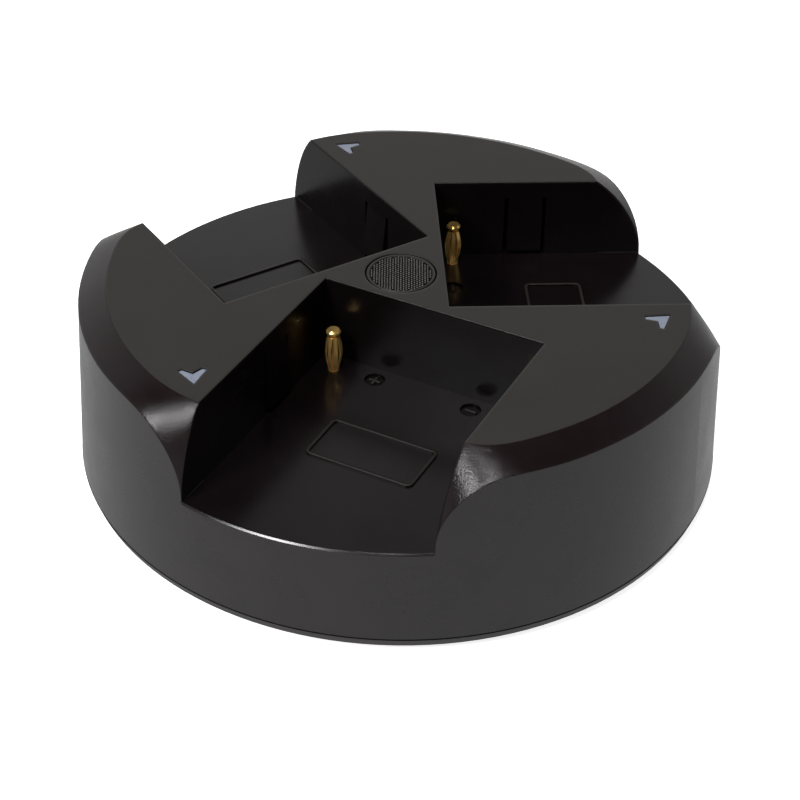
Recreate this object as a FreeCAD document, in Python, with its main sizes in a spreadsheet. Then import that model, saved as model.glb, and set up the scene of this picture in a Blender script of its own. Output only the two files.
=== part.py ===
import FreeCAD, Part
import os
import re
import Sketcher

# Three-bay battery charger with a round moulded housing, in millimetres.
# The origin is on the housing's axis, at the level on which the feet stand. +Z is up.
# The first bay opens towards -Y. The other two bays are turned by a third of a circle each.
# The lobe right of the first bay is the pattern for all three lobes.

BAY_COUNT = 3
THIRD_TURN = 360 / BAY_COUNT
SPRING_LEAVES = 8
SPRING_STEPS = 4

SIZES = {
    # Overall levels, radii and walls
    "foot_proud": 1.0,
    "base_band": 2.0,
    "floor_rise": 18.7,
    "bay_depth": 15.2,
    "base_radius": 55.5,
    "draft_angle": 3.1,
    "wall": 2.2,
    "roof_setback": 4.5,
    "shoulder_drop": 7.2,
    # Battery bay, seen with its mouth towards -Y
    "bay_width": 40.0,
    "bay_shift": 9.65,
    "bay_back": 7.4,
    "rim_bevel": 0.3,
    # Bevelled band round each lobe, which flares down beside the bays
    "band_inset": 6.5,
    "band_drop": 2.4,
    "band_crown": 0.12,
    "wide_end_lift": 0.5,
    "wide_pull": 5.8,
    "tip_end_dip": 0.7,
    "tip_pull": 0.9,
    "tip_crown": 0.85,
    # Sprung tongues in the bay walls
    "tongue_width": 7.6,
    "tongue_row": 24.15,
    "tongue_top_gap": 3.3,
    "slot_width": 0.7,
    "tongue_rise": 0.8,
    # Polarity marks and framed plate in the bay floor
    "mark_spacing": 17.9,
    "mark_row": 10.5,
    "mark_radius": 1.8,
    "mark_depth": 0.4,
    "sign_length": 2.1,
    "sign_stroke": 0.5,
    "sign_height": 0.3,
    "plate_length": 19.2,
    "plate_width": 10.2,
    "plate_row": 28.5,
    "plate_corner": 1.1,
    "bead_width": 0.5,
    "bead_height": 0.3,
    # Centre disc
    "disc_radius": 5.75,
    "disc_thickness": 1.2,
    "disc_gap": 0.35,
    "disc_dish": 0.15,
    # Arrow-shaped light pipes and the lamps under them
    "arrow_inset": 12.2,
    "arrow_offset": 3.35,
    "arrow_turn": 126.0,
    "arrow_half_angle": 31.6,
    "arrow_arm": 4.1,
    "arrow_notch": 2.6,
    "arrow_tip_width": 0.6,
    "arrow_sink": 0.15,
    "arrow_lamp": 2.4,
    "window_clearance": 0.12,
    "pipe_foot_length": 6.4,
    "pipe_foot_width": 4.6,
    "pipe_foot_gap": 0.3,
    "pipe_foot_overlap": 1.6,
    "lamp_length": 3.2,
    "lamp_width": 1.6,
    "lamp_height": 1.2,
    "lamp_clearance": 0.3,
    "lens_length": 1.9,
    "lens_width": 1.2,
    # Contact pins with lantern springs
    "tip_pin_inset": 3.42,
    "wide_pin_inset": 2.45,
    "pin_row": 10.97,
    "pin_height": 8.1,
    "cap_radius": 1.25,
    "cap_height": 0.6,
    "cap_cone": 0.7,
    "core_radius": 0.65,
    "shank_radius": 1.0,
    "shank_clearance": 0.05,
    "spring_bulge": 1.5,
    "spring_end": 0.98,
    "spring_wall": 0.2,
    "spring_band": 0.55,
    "spring_leaf": 0.62,
    # Main circuit board
    "board_inset": 6.0,
    "board_thickness": 1.6,
    "board_clearance": 0.4,
    # Board screws under the bay floors
    "board_screw_inset": 13.5,
    "board_screw_boss": 3.0,
    "board_screw_radius": 1.0,
    "board_screw_skin": 1.7,
    "board_screw_head": 1.9,
    "board_screw_head_height": 1.3,
    # Cover screws in the lobes
    "cover_screw_offset": 7.35,
    "cover_screw_row": 6.0,
    "cover_screw_boss": 3.25,
    "cover_screw_radius": 1.2,
    "cover_screw_bite": 8.0,
    "cover_screw_head": 2.3,
    "cover_screw_head_height": 1.7,
    "cover_post_radius": 3.75,
    "cover_post_height": 4.0,
    "cover_post_roof": 2.0,
    "screw_clearance": 0.25,
    "screw_fit": 0.04,
    "recess_width": 0.6,
    "recess_depth": 0.8,
    # Base cover and feet
    "cover_step": 0.15,
    "cover_taper": 0.3,
    "cover_edge": 0.6,
    "lip_height": 2.0,
    "lip_wall": 1.7,
    "lip_clearance": 0.15,
    "foot_radius": 5.0,
    "foot_seat": 1.0,
    "foot_bevel": 0.4,
    "foot_inset": 13.5,
    "foot_clearance": 0.1,
    # Low-voltage inlet in the rear wall, opposite the first bay
    "inlet_width": 9.0,
    "inlet_height": 9.0,
    "inlet_length": 13.5,
    "inlet_setback": 3.5,
    "inlet_gap": 0.4,
    "inlet_nose_radius": 3.9,
    "inlet_nose": 2.4,
    "inlet_bore_radius": 2.85,
    "inlet_bore_depth": 9.5,
    "inlet_pin_radius": 1.0,
    "inlet_pin_setback": 1.0,
    "inlet_clearance": 0.2,
    # Parts under the board, placed in the first bay's third
    "coil_side": 20.0,
    "coil_pitch": 12.0,
    "coil_width": 8.0,
    "coil_height": 4.6,
    "coil_corner": 1.4,
    "coil_core_radius": 2.9,
    "coil_core_depth": 0.4,
    "can_side": 20.0,
    "can_inset": 15.5,
    "can_radius": 3.15,
    "can_height": 7.7,
    "can_base": 1.1,
    "can_bevel": 0.35,
    "can_base_margin": 0.2,
    "chip_side": 7.0,
    "chip_row": 24.0,
    "chip_length": 5.0,
    "chip_width": 4.0,
    "chip_height": 1.5,
    "chip_lead_pitch": 1.27,
    "chip_lead_width": 0.42,
    "chip_lead_reach": 1.0,
    "chip_lead_thickness": 0.25,
    "transistor_side": -8.0,
    "transistor_row": 30.0,
    "transistor_length": 6.2,
    "transistor_width": 6.6,
    "transistor_height": 2.3,
    "transistor_tab": 1.1,
    "transistor_tab_width": 5.3,
    "transistor_tab_thickness": 0.5,
    "transistor_lead_reach": 2.4,
    "transistor_lead_width": 0.8,
    "transistor_lead_spacing": 4.6,
}

doc = FreeCAD.newDocument("battery_charger")
sizes = doc.addObject("Spreadsheet::Sheet", "sizes")
for row, (alias, value) in enumerate(SIZES.items(), start=1):
    sizes.set(f"A{row}", alias)
    sizes.set(f"B{row}", str(value))
    sizes.setAlias(f"B{row}", alias)
doc.recompute()

# Levels and radii that follow from the sizes, as expressions
SPLIT = "(foot_proud + base_band)"
FLOOR = "(foot_proud + floor_rise)"
FLOOR_UNDER = f"({FLOOR} - wall)"
TOP = f"({FLOOR} + bay_depth)"
ROOF_UNDER = f"({TOP} - wall)"
IN_ROOF = f"({TOP} - wall / 2)"
BAND_LOW = f"({TOP} - band_drop)"
TIP_WALL = "(bay_shift - bay_width / 2)"
WIDE_WALL = "(bay_shift + bay_width / 2)"
BOARD_UNDER = f"({SPLIT} + inlet_gap + inlet_height)"
BOARD_TOP = f"({BOARD_UNDER} + board_thickness)"
BOARD_TIP = f"({FLOOR} - board_screw_skin)"
PIPE_FOOT_TOP = f"({FLOOR_UNDER} - pipe_foot_gap)"
POST_TOP = f"({SPLIT} + cover_post_height)"
TONGUE_TOP = f"({TOP} - tongue_top_gap)"
INLET_LEVEL = f"({BOARD_UNDER} - inlet_height / 2)"
PIN_TOP = f"({FLOOR} + pin_height)"
NECK = f"({PIN_TOP} - cap_height - cap_cone)"
COVER_SEAT = f"({POST_TOP} - cover_post_roof)"
WIDE_FLARE = f"({BAND_LOW} - {FLOOR} - wide_end_lift)"
TIP_FLARE = f"({BAND_LOW} - {FLOOR} + tip_end_dip)"
BAND_TOP_RADIUS = "(base_radius - band_inset)"
ARROW_SIDE = f"({TIP_WALL} - arrow_offset)"
ARROW_ROW = "(arrow_inset - base_radius)"
LAMP_SIDE = f"({ARROW_SIDE} + arrow_lamp * cos(arrow_turn))"
LAMP_ROW = f"({ARROW_ROW} + arrow_lamp * sin(arrow_turn))"
PIN_SIDES = (f"({TIP_WALL} + tip_pin_inset)", f"({WIDE_WALL} - wide_pin_inset)")
BOARD_SCREW_ROW = "(base_radius - board_screw_inset)"
COVER_SCREW_SIDE = f"({WIDE_WALL} + cover_screw_offset)"
FOOT_ROW = "(base_radius - foot_inset)"
INLET_FACE = "(base_radius - inlet_setback)"
CAN_ROW = "(base_radius - can_inset)"
COIL_ROW = f"({CAN_ROW} - coil_pitch)"
THROUGH_WALL = "(wall * 3 / 2)"


def outer_side(level):
    """Radius of the drafted outer side at a level."""
    return f"(base_radius - ({level} - {SPLIT}) * tan(draft_angle))"


def inner_side(level):
    """Radius of the housing's inner side at a level."""
    return f"({outer_side(level)} - wall)"


def linked(text):
    """The expression with every size's name pointing into the sheet."""
    return re.sub(r"\b(" + "|".join(SIZES) + r")\b", r"sizes.\1", text)


def bind(item, name, text):
    """Bind a property to an expression of the sizes."""
    item.setExpression(name, linked(text))


def number(text):
    """The present value of an expression of the sizes."""
    value = sizes.evalExpression(linked(text))
    return float(getattr(value, "Value", value))


# Sketches and features

def origin_item(body, role):
    """The body's own origin plane or axis of that role."""
    return [item for item in body.Origin.OriginFeatures if item.Role == role][0]


def new_body(name, turns=0):
    """A body named after its node, turned about the housing's axis by thirds of a circle."""
    body = doc.addObject("PartDesign::Body", name)
    body.Label = name
    body.Placement = FreeCAD.Placement(FreeCAD.Vector(), FreeCAD.Rotation(turns * THIRD_TURN, 0, 0))
    return body


def sketch_on(body, role, name, lift=None, along=None, turn=None):
    """A sketch on one of the body's planes, lifted off it, shifted along it or turned upright."""
    sketch = body.newObject("Sketcher::SketchObject", name)
    sketch.AttachmentSupport = [(origin_item(body, role), "")]
    sketch.MapMode = "FlatFace"
    if turn:
        upright = FreeCAD.Rotation(FreeCAD.Vector(0, 1, 0), number(turn))
        sketch.AttachmentOffset = FreeCAD.Placement(FreeCAD.Vector(), upright)
        bind(sketch, "AttachmentOffset.Rotation.Angle", turn)
    if lift:
        bind(sketch, "AttachmentOffset.Base.z", lift)
    if along:
        bind(sketch, "AttachmentOffset.Base.x", along)
    return sketch


def fix_point(sketch, curve, end, across, up):
    """Tie a point to its two distances from the sketch's origin."""
    for kind, axis, text in (("DistanceX", -2, across), ("DistanceY", -1, up)):
        if text == "0":
            sketch.addConstraint(Sketcher.Constraint("PointOnObject", curve, end, axis))
            continue
        held = Sketcher.Constraint(kind, -1, 1, curve, end, number(text))
        index = sketch.addConstraint(held)
        bind(sketch, f"Constraints[{index}]", text)


def outline(sketch, corners, arcs=None):
    """Close an outline through corners. arcs gives a side's radius, bulging right of its direction."""
    arcs = arcs or {}
    first = sketch.GeometryCount
    points = [FreeCAD.Vector(number(across), number(up), 0) for across, up in corners]
    starts = []
    ends = []
    for side, begin in enumerate(points):
        end = points[(side + 1) % len(points)]
        if side not in arcs:
            sketch.addGeometry(Part.LineSegment(begin, end))
            starts.append(1)
            ends.append(2)
            continue
        radius = number(arcs[side])
        chord = end - begin
        sag = radius - (radius ** 2 - (chord.Length / 2) ** 2) ** 0.5
        right = FreeCAD.Vector(chord.y, -chord.x, 0).normalize()
        sketch.addGeometry(Part.Arc(begin, (begin + end) / 2 + right * sag, end))
        forward = (sketch.getPoint(first + side, 1) - begin).Length < chord.Length / 2
        starts.append(1 if forward else 2)
        ends.append(2 if forward else 1)
    for side, (across, up) in enumerate(corners):
        before = (side - 1) % len(corners)
        joint = (first + before, ends[before], first + side, starts[side])
        sketch.addConstraint(Sketcher.Constraint("Coincident", *joint))
        fix_point(sketch, first + side, starts[side], across, up)
    for side, radius in arcs.items():
        held = Sketcher.Constraint("Radius", first + side, number(radius))
        index = sketch.addConstraint(held)
        bind(sketch, f"Constraints[{index}]", radius)


def circle(sketch, across, up, radius):
    """A circle at a place in the sketch."""
    index = sketch.GeometryCount
    centre = FreeCAD.Vector(number(across), number(up), 0)
    sketch.addGeometry(Part.Circle(centre, FreeCAD.Vector(0, 0, 1), number(radius)))
    fix_point(sketch, index, 3, across, up)
    held = Sketcher.Constraint("Radius", index, number(radius))
    bind(sketch, f"Constraints[{sketch.addConstraint(held)}]", radius)


def box_outline(sketch, left, low, right, high):
    """A rectangle from its four sides."""
    outline(sketch, [(left, low), (right, low), (right, high), (left, high)])


def rounded_outline(sketch, centre_x, centre_y, length, width, corner):
    """A rectangle with round corners, from its centre and its two lengths."""
    left = f"({centre_x} - {length} / 2)"
    right = f"({centre_x} + {length} / 2)"
    low = f"({centre_y} - {width} / 2)"
    high = f"({centre_y} + {width} / 2)"
    corners = [
        (f"{left} + {corner}", low), (f"{right} - {corner}", low),
        (right, f"{low} + {corner}"), (right, f"{high} - {corner}"),
        (f"{right} - {corner}", high), (f"{left} + {corner}", high),
        (left, f"{high} - {corner}"), (left, f"{low} + {corner}"),
    ]
    outline(sketch, corners, {1: corner, 3: corner, 5: corner, 7: corner})


def extrude(kind, body, name, sketch, length, back=False):
    """A pad or a pocket of a sketch. back turns it to the other side of the sketch."""
    feature = body.newObject(f"PartDesign::{kind}", name)
    feature.Profile = sketch
    bind(feature, "Length", length)
    feature.Reversed = back
    return feature


def revolve(kind, body, name, sketch):
    """A full turn of a sketch about its upright axis."""
    feature = body.newObject(f"PartDesign::{kind}", name)
    feature.Profile = sketch
    feature.ReferenceAxis = (sketch, ["V_Axis"])
    feature.Angle = 360
    return feature


def repeat_round(body, name, features, count=BAY_COUNT, sketch=None):
    """Repeat features evenly round the body's upright axis, or round a sketch's own."""
    pattern = body.newObject("PartDesign::PolarPattern", name)
    pattern.Originals = features
    pattern.Axis = (sketch, ["V_Axis"]) if sketch else (origin_item(body, "Z_Axis"), [""])
    pattern.Angle = 360
    pattern.Occurrences = count
    body.Tip = pattern
    return pattern


def plus_outline(sketch, across, up, reach, half):
    """A plus sign or cross recess about a place, from its reach and half its stroke."""
    points = [(reach, f"(0 - {half})"), (reach, half), (half, half)]
    corners = []
    for turn in range(4):
        corners += [(f"{across} + {x}", f"{up} + {y}") for x, y in points]
        points = [(f"(0 - {y})", x) for x, y in points]
    outline(sketch, corners)


def arrow_outline(sketch, gap):
    """The arrow beside the first bay's tip wall, widened all round by a gap."""
    def away(reach, angle, side="0"):
        across = f"cos({angle}) * ({reach}) - sin({angle}) * ({side})"
        up = f"sin({angle}) * ({reach}) + cos({angle}) * ({side})"
        return f"({ARROW_SIDE} + {across})", f"({ARROW_ROW} + {up})"

    first_arm = "(arrow_turn - arrow_half_angle)"
    second_arm = "(arrow_turn + arrow_half_angle)"
    reach = f"arrow_arm + {gap}"
    inner = f"arrow_tip_width + {gap}"
    corners = [
        away(f"-{gap} / sin(arrow_half_angle)", "arrow_turn"),
        away(reach, first_arm, f"-{gap}"),
        away(reach, first_arm, inner),
        away(f"arrow_notch + 2 * {gap}", "arrow_turn"),
        away(reach, second_arm, f"-({inner})"),
        away(reach, second_arm, gap),
    ]
    outline(sketch, corners)


# Upper housing: shell, bays and flared lobes

def housing_shell(body):
    """The drafted round shell with its roof, open below."""
    shoulder = f"({ROOF_UNDER} - shoulder_drop)"
    sketch = sketch_on(body, "XZ_Plane", "shell_section")
    corners = [
        ("0", ROOF_UNDER), (f"{BAND_TOP_RADIUS} - roof_setback", ROOF_UNDER),
        (inner_side(shoulder), shoulder), (inner_side(SPLIT), SPLIT),
        ("base_radius", SPLIT), (outer_side(TOP), TOP), ("0", TOP),
    ]
    outline(sketch, corners)
    revolve("Revolution", body, "shell", sketch)


def housing_bays(body):
    """Walls and floor of the bays inside the shell, then the bays themselves and their bevelled rims."""
    left = f"({TIP_WALL} - wall)"
    right = f"({WIDE_WALL} + wall)"
    in_side = f"({outer_side(TOP)} - wall / 4)"
    back = "-(bay_back - wall)"
    sketch = sketch_on(body, "XY_Plane", "bay_walls_outline", lift=FLOOR_UNDER)
    corners = [
        (left, back), (left, f"-sqrt({in_side} ^ 2 - {left} ^ 2)"),
        (right, f"-sqrt({in_side} ^ 2 - {right} ^ 2)"), (right, back),
    ]
    outline(sketch, corners, {1: in_side})
    walls = extrude("Pad", body, "bay_walls", sketch, f"{IN_ROOF} - {FLOOR_UNDER}")
    repeat_round(body, "all_bay_walls", [walls])

    bosses = []
    sketch = sketch_on(body, "XY_Plane", "cover_boss_outline", lift=POST_TOP)
    circle(sketch, COVER_SCREW_SIDE, "-cover_screw_row", "cover_screw_boss")
    bosses.append(extrude("Pad", body, "cover_boss", sketch, f"{IN_ROOF} - {POST_TOP}"))
    sketch = sketch_on(body, "XY_Plane", "board_boss_outline", lift=BOARD_TOP)
    circle(sketch, "bay_shift", f"-{BOARD_SCREW_ROW}", "board_screw_boss")
    bosses.append(extrude("Pad", body, "board_boss", sketch, f"{FLOOR_UNDER} - {BOARD_TOP} + wall / 2"))
    repeat_round(body, "all_bosses", bosses)

    sketch = sketch_on(body, "XY_Plane", "bay_outline", lift=FLOOR)
    box_outline(sketch, TIP_WALL, "-(base_radius + wall)", WIDE_WALL, "-bay_back")
    bay = extrude("Pocket", body, "bay", sketch, "bay_depth + wall", back=True)
    bays = repeat_round(body, "all_bays", [bay])
    doc.recompute()

    rim_level = number(FLOOR)
    rim_radius = number(outer_side(FLOOR))
    rims = []
    for index, edge in enumerate(bays.Shape.Edges, start=1):
        curve = edge.Curve
        if not isinstance(curve, Part.Circle):
            continue
        level = abs(curve.Center.z - rim_level) < 0.001
        if level and abs(curve.Radius - rim_radius) < 0.01:
            rims.append(f"Edge{index}")
    bevel = body.newObject("PartDesign::Chamfer", "rim_bevel")
    bevel.Base = (bays, rims)
    bind(bevel, "Size", "rim_bevel")
    body.Tip = bevel


def band_section(body, name, azimuth, level, top_radius, crown):
    """A section of the cutter above the band: a crowned line from the side up to the top."""
    low_radius = outer_side(level)
    slope = f"(({TOP} - {level}) / ({low_radius} - {top_radius}))"
    over = "(wall / 8)"
    outside = f"({low_radius} + {over})"
    low = f"({level} - {over} * {slope})"
    inside = f"({top_radius} - {over} / {slope})"
    high = f"({TOP} + {over})"
    chord = f"(({outside} - {inside}) ^ 2 + ({high} - {low}) ^ 2)"
    sketch = sketch_on(body, "XZ_Plane", name, turn=azimuth)
    corners = [(inside, high), (outside, low), (outside, high)]
    outline(sketch, corners[::-1], {1: f"({chord} / (8 * {crown}) + {crown} / 2)"})
    return sketch


def housing_bands(body):
    """The bevelled band round each lobe, cut by a loft that flares down to the bay floors."""
    rim = outer_side(FLOOR)
    start = f"(-90 deg + asin({WIDE_WALL} / {rim}))"
    end = f"({THIRD_TURN} deg - 90 deg + asin({TIP_WALL} / {rim}))"
    flare_steps = 5
    middle_steps = 4
    sections = []
    for step in range(flare_steps + 1):
        angle = 90 * step / flare_steps
        run = f"({WIDE_FLARE} * (1 - cos({angle})) / {rim} * 180 deg / pi)"
        level = f"({BAND_LOW} - {WIDE_FLARE} * (1 - sin({angle})))"
        top_radius = f"({BAND_TOP_RADIUS} - wide_pull * cos({angle}) ^ 2)"
        name = f"wide_section_{step}"
        azimuth = f"{start} + {run}"
        sections.append(band_section(body, name, azimuth, level, top_radius, "band_crown"))
    wide_end = f"({start} + {WIDE_FLARE} / {rim} * 180 deg / pi)"
    tip_end = f"({end} - {TIP_FLARE} / {rim} * 180 deg / pi)"
    for step in range(1, middle_steps):
        share = step / middle_steps
        azimuth = f"{wide_end} * {1 - share} + {tip_end} * {share}"
        name = f"middle_section_{step}"
        sections.append(band_section(body, name, azimuth, BAND_LOW, BAND_TOP_RADIUS, "band_crown"))
    for step in range(flare_steps, -1, -1):
        angle = 90 * step / flare_steps
        run = f"({TIP_FLARE} * (1 - cos({angle})) / {rim} * 180 deg / pi)"
        level = f"({BAND_LOW} - {TIP_FLARE} * (1 - sin({angle})))"
        top_radius = f"({BAND_TOP_RADIUS} - tip_pull * cos({angle}) ^ 2)"
        crown = f"(band_crown + tip_crown * cos({angle}) ^ 2)"
        azimuth = f"{end} - {run}"
        sections.append(band_section(body, f"tip_section_{step}", azimuth, level, top_radius, crown))
    band = body.newObject("PartDesign::SubtractiveLoft", "band")
    band.Profile = sections[0]
    band.Sections = sections[1:]
    repeat_round(body, "all_bands", [band])


def housing_tongues(body):
    """Sprung tongues in both side walls of a bay: a slot round each, and a wedge on its face."""
    near = "-(tongue_row - tongue_width / 2)"
    far = "-(tongue_row + tongue_width / 2)"
    sill = f"({FLOOR} + slot_width)"
    features = []
    for side, wall_side, sign in (("tip", TIP_WALL, "1"), ("wide", WIDE_WALL, "-1")):
        lift = f"{wall_side} + {sign} * wall / 4"
        sketch = sketch_on(body, "YZ_Plane", f"{side}_slot_outline", lift=lift)
        corners = [
            (far, TONGUE_TOP), (far, FLOOR), (near, FLOOR), (near, TONGUE_TOP),
            (f"{near} - slot_width", TONGUE_TOP), (f"{near} - slot_width", sill),
            (f"{far} + slot_width", sill), (f"{far} + slot_width", TONGUE_TOP),
        ]
        outline(sketch, corners)
        features.append(extrude("Pocket", body, f"{side}_slot", sketch, THROUGH_WALL, back=side == "wide"))
        lift = "tongue_row - tongue_width / 2 + slot_width"
        sketch = sketch_on(body, "XZ_Plane", f"{side}_wedge_outline", lift=lift)
        inside = f"{wall_side} - {sign} * wall / 2"
        proud = f"{wall_side} + {sign} * tongue_rise"
        corners = [
            (inside, f"{TONGUE_TOP} - slot_width"), (wall_side, f"{TONGUE_TOP} - slot_width"),
            (proud, f"{sill} + 3 * tongue_rise"), (proud, f"{sill} + tongue_rise"),
            (wall_side, sill), (inside, sill),
        ]
        outline(sketch, corners)
        wedge = extrude("Pad", body, f"{side}_wedge", sketch, "tongue_width - 2 * slot_width")
        features.append(wedge)
    repeat_round(body, "all_tongues", features)


def housing_floor_marks(body):
    """Dished polarity marks and the framed plate in a bay floor."""
    plus = "(bay_shift - mark_spacing / 2)"
    minus = "(bay_shift + mark_spacing / 2)"
    reach = "(sign_length / 2)"
    half = "(sign_stroke / 2)"
    sketch = sketch_on(body, "XY_Plane", "mark_circles", lift=FLOOR)
    circle(sketch, plus, "-mark_row", "mark_radius")
    circle(sketch, minus, "-mark_row", "mark_radius")
    dishes = extrude("Pocket", body, "mark_dishes", sketch, "mark_depth")
    sketch = sketch_on(body, "XY_Plane", "sign_outlines", lift=f"{FLOOR} - mark_depth")
    plus_outline(sketch, plus, "-mark_row", reach, half)
    left = f"{minus} - {reach}"
    box_outline(sketch, left, f"-mark_row - {half}", f"{minus} + {reach}", f"-mark_row + {half}")
    signs = extrude("Pad", body, "signs", sketch, "sign_height")
    sketch = sketch_on(body, "XY_Plane", "bead_outlines", lift=FLOOR)
    centre = ("bay_shift", "(-plate_row)")
    rounded_outline(sketch, *centre, "plate_length", "plate_width", "plate_corner")
    inner = [f"({name} - 2 * bead_width)" for name in ("plate_length", "plate_width")]
    rounded_outline(sketch, *centre, *inner, "(plate_corner - bead_width)")
    bead = extrude("Pad", body, "plate_bead", sketch, "bead_height")
    repeat_round(body, "all_floor_marks", [dishes, signs, bead])


def housing_openings(body):
    """Seats and holes for what the housing holds: disc, light pipes, pins, screws and inlet."""
    sketch = sketch_on(body, "XY_Plane", "disc_seat_circle", lift=TOP)
    circle(sketch, "0", "0", "(disc_radius + disc_gap)")
    extrude("Pocket", body, "disc_seat", sketch, "disc_thickness")
    sketch = sketch_on(body, "XY_Plane", "window_outline", lift=TOP)
    arrow_outline(sketch, "window_clearance")
    openings = [extrude("Pocket", body, "window_opening", sketch, "wall + shoulder_drop")]
    sketch = sketch_on(body, "XY_Plane", "pin_hole_circles", lift=FLOOR)
    for side in PIN_SIDES:
        circle(sketch, side, "-pin_row", "(shank_radius + shank_clearance)")
    openings.append(extrude("Pocket", body, "pin_holes", sketch, THROUGH_WALL))
    sketch = sketch_on(body, "XY_Plane", "board_pilot_circle", lift=BOARD_TOP)
    circle(sketch, "bay_shift", f"-{BOARD_SCREW_ROW}", "(board_screw_radius + screw_fit)")
    depth = f"{BOARD_TIP} + screw_clearance - {BOARD_TOP}"
    openings.append(extrude("Pocket", body, "board_pilot", sketch, depth, back=True))
    sketch = sketch_on(body, "XY_Plane", "cover_pilot_circle", lift=POST_TOP)
    circle(sketch, COVER_SCREW_SIDE, "-cover_screw_row", "(cover_screw_radius + screw_fit)")
    depth = "cover_screw_bite + screw_clearance"
    openings.append(extrude("Pocket", body, "cover_pilot", sketch, depth, back=True))
    repeat_round(body, "all_openings", openings)
    sketch = sketch_on(body, "XZ_Plane", "inlet_circle", lift=f"-{INLET_FACE}")
    circle(sketch, "0", INLET_LEVEL, "(inlet_nose_radius + inlet_clearance)")
    extrude("Pocket", body, "inlet_hole", sketch, f"2 * {THROUGH_WALL}")


def make_upper_housing():
    """The one-piece upper moulding."""
    body = new_body("upper_housing")
    housing_shell(body)
    housing_bays(body)
    housing_bands(body)
    housing_tongues(body)
    housing_floor_marks(body)
    housing_openings(body)
    return body


# Base cover and feet

def make_base_cover():
    """The bottom shell: a plate with a lip inside the housing, screw posts and seats for the feet."""
    body = new_body("base_cover")
    rim = "(base_radius - cover_step)"
    low_rim = f"({rim} - cover_taper)"
    lip_top = f"({SPLIT} + lip_height)"
    lip_outer = f"({inner_side(lip_top)} - lip_clearance)"
    lip_inner = f"({lip_outer} - lip_wall)"
    sketch = sketch_on(body, "XZ_Plane", "cover_section")
    corners = [
        ("0", "foot_proud"), (f"{low_rim} - cover_edge", "foot_proud"),
        (low_rim, "foot_proud + cover_edge"), (rim, SPLIT), (lip_outer, SPLIT),
        (lip_outer, lip_top), (lip_inner, lip_top), (lip_inner, SPLIT), ("0", SPLIT),
    ]
    outline(sketch, corners)
    revolve("Revolution", body, "cover", sketch)

    screw_place = (COVER_SCREW_SIDE, "-cover_screw_row")
    sketch = sketch_on(body, "XY_Plane", "post_circle", lift=f"{SPLIT} - base_band / 2")
    circle(sketch, *screw_place, "cover_post_radius")
    features = [extrude("Pad", body, "post", sketch, "cover_post_height + base_band / 2")]
    sketch = sketch_on(body, "XY_Plane", "screw_hole_circle", lift="foot_proud")
    circle(sketch, *screw_place, "(cover_screw_radius + screw_clearance)")
    depth = f"{POST_TOP} - foot_proud"
    features.append(extrude("Pocket", body, "screw_hole", sketch, depth, back=True))
    sketch = sketch_on(body, "XY_Plane", "counterbore_circle", lift="foot_proud")
    circle(sketch, *screw_place, "(cover_screw_head + screw_clearance)")
    depth = f"{COVER_SEAT} - foot_proud"
    features.append(extrude("Pocket", body, "counterbore", sketch, depth, back=True))
    sketch = sketch_on(body, "XY_Plane", "foot_seat_circle", lift="foot_proud")
    circle(sketch, "bay_shift", f"-{FOOT_ROW}", "(foot_radius + foot_clearance)")
    features.append(extrude("Pocket", body, "foot_seat_recess", sketch, "foot_seat", back=True))
    repeat_round(body, "all_seats", features)

    half = "(inlet_width / 2 + 4 * inlet_clearance)"
    sketch = sketch_on(body, "XY_Plane", "inlet_notch_outline", lift=SPLIT)
    box_outline(sketch, f"-{half}", f"{lip_inner} - lip_wall", half, "base_radius")
    extrude("Pocket", body, "inlet_notch", sketch, "2 * lip_height", back=True)
    return body


def make_rubber_foot(turns):
    """A round foot pressed into its seat in the base cover."""
    body = new_body(f"rubber_foot_{turns + 1}", turns)
    sketch = sketch_on(body, "XZ_Plane", "foot_section", lift=FOOT_ROW, along="bay_shift")
    top = "foot_proud + foot_seat"
    corners = [
        ("0", "0"), ("foot_radius - foot_bevel", "0"), ("foot_radius", "foot_bevel"),
        ("foot_radius", top), ("0", top),
    ]
    outline(sketch, corners)
    revolve("Revolution", body, "foot", sketch)
    return body


# Screws

def make_screws(name, place, seat, prefix, shank_top):
    """Three pan-head screws with cross recesses, driven upwards from a seat."""
    side, row = place
    body = new_body(name)
    body.AllowCompound = True
    head = f"{prefix}_head"
    shank = f"{prefix}_radius"
    height = f"{prefix}_head_height"
    sketch = sketch_on(body, "XZ_Plane", "screw_section", lift=row, along=side)
    flat = f"({head} - {height} / 2)"
    corners = [
        ("0", f"{seat} - {height}"), (flat, f"{seat} - {height}"), (head, f"{seat} - {height} / 2"),
        (head, seat), (shank, seat), (shank, shank_top), ("0", shank_top),
    ]
    outline(sketch, corners)
    screw = revolve("Revolution", body, "screw", sketch)
    sketch = sketch_on(body, "XY_Plane", "cross_outline", lift=f"{seat} - {height}")
    plus_outline(sketch, side, f"(0 - {row})", f"({head} / 2)", "(recess_width / 2)")
    recess = extrude("Pocket", body, "cross_recess", sketch, "recess_depth", back=True)
    repeat_round(body, "all_screws", [screw, recess])
    return body


# Centre disc and light pipes

def make_centre_disc():
    """The round disc in the middle of the roof, with a fine raised edge."""
    body = new_body("centre_disc")
    seat = f"({TOP} - disc_thickness)"
    face = f"({TOP} - disc_dish)"
    sketch = sketch_on(body, "XZ_Plane", "disc_section")
    corners = [
        ("0", seat), ("disc_radius", seat), ("disc_radius", TOP),
        ("disc_radius - 2 * disc_dish", TOP), ("disc_radius - 3 * disc_dish", face), ("0", face),
    ]
    outline(sketch, corners)
    revolve("Revolution", body, "disc", sketch)
    return body


def lamp_box(sketch, length, width):
    """A rectangle about the place of the lamp under an arrow."""
    left = f"{LAMP_SIDE} - {length} / 2"
    low = f"{LAMP_ROW} - {width} / 2"
    box_outline(sketch, left, low, f"{LAMP_SIDE} + {length} / 2", f"{LAMP_ROW} + {width} / 2")


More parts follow.
